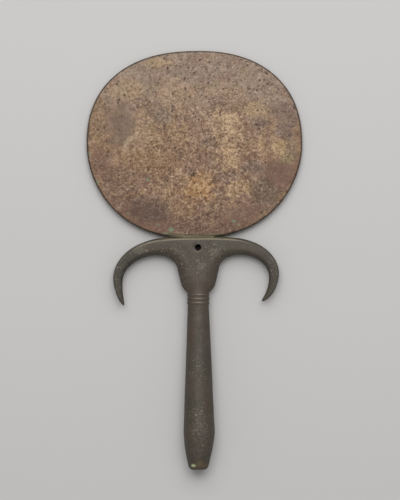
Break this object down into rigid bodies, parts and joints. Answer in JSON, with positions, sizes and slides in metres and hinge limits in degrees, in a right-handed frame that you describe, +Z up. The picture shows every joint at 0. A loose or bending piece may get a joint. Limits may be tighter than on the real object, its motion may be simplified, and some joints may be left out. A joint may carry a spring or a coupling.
{
  "type": "bronze hand mirror",
  "caption": "Ancient bronze hand mirror with an oval disk tanged into a cast handle with a ringed neck, flared head and down-curving horns.",
  "frame": {"origin": "ground point under the middle of the mirror's bounding box, with the mirror lying on its back", "axes": "+X to the right as the front is looked down on, +Y from the butt towards the disk's top, +Z up out of the front"},
  "size_m": [0.1252, 0.2431, 0.0179],
  "materials": {
    "disk_bronze": "old bronze, worn brown and ochre patina, mottled and pitted, satin",
    "handle_bronze": "old cast bronze, dark olive-brown patina with pale green specks, satin"
  },
  "bodies": {
    "root": {"mirror_disk": "disk_bronze", "handle": "handle_bronze"}
  },
  "joints": []
}
